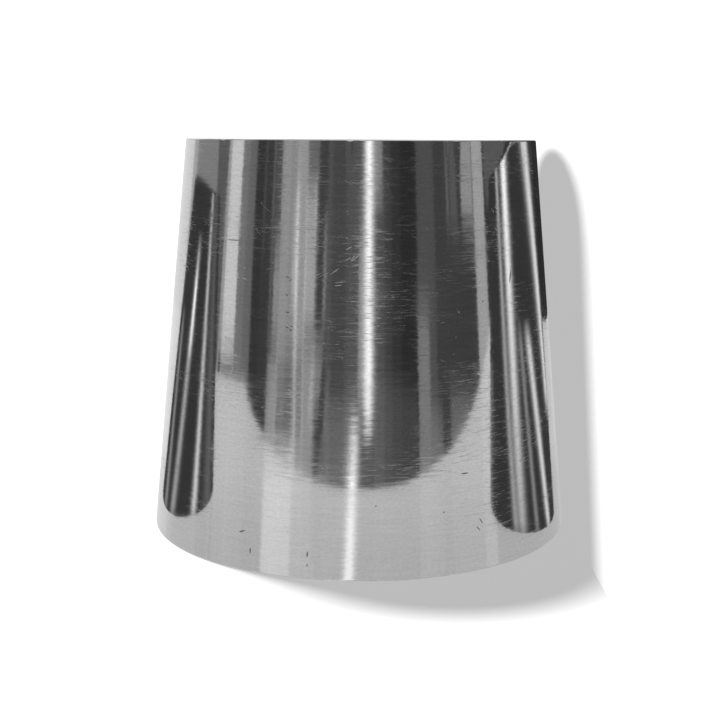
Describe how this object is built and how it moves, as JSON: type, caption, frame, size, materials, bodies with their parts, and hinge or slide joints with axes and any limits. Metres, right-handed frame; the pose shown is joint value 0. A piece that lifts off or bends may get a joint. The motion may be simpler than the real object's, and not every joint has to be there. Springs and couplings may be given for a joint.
{
  "type": "eccentric reducer",
  "caption": "Thin-wall polished stainless eccentric reducer: a leaning cone, straight on one side, that joins two tube sizes end to end.",
  "frame": {"origin": "centre of the large end's outer circle, on the large end face", "axes": "+Z from the large end to the small end, square to both faces; -Y faces the straight side, where both ends line up; the seam runs down the sloping side at +Y"},
  "size_m": [0.0634, 0.0634, 0.0583],
  "materials": {
    "polished_stainless": "mirror polished stainless sheet, very fine polishing lines round the cone, light scratches and a few pits",
    "weld_metal": "stainless weld metal ground flush outside and polished across the seam, as welded at the root"
  },
  "bodies": {
    "root": {"reducer_shell": "polished_stainless", "seam_weld": "weld_metal"}
  },
  "joints": []
}
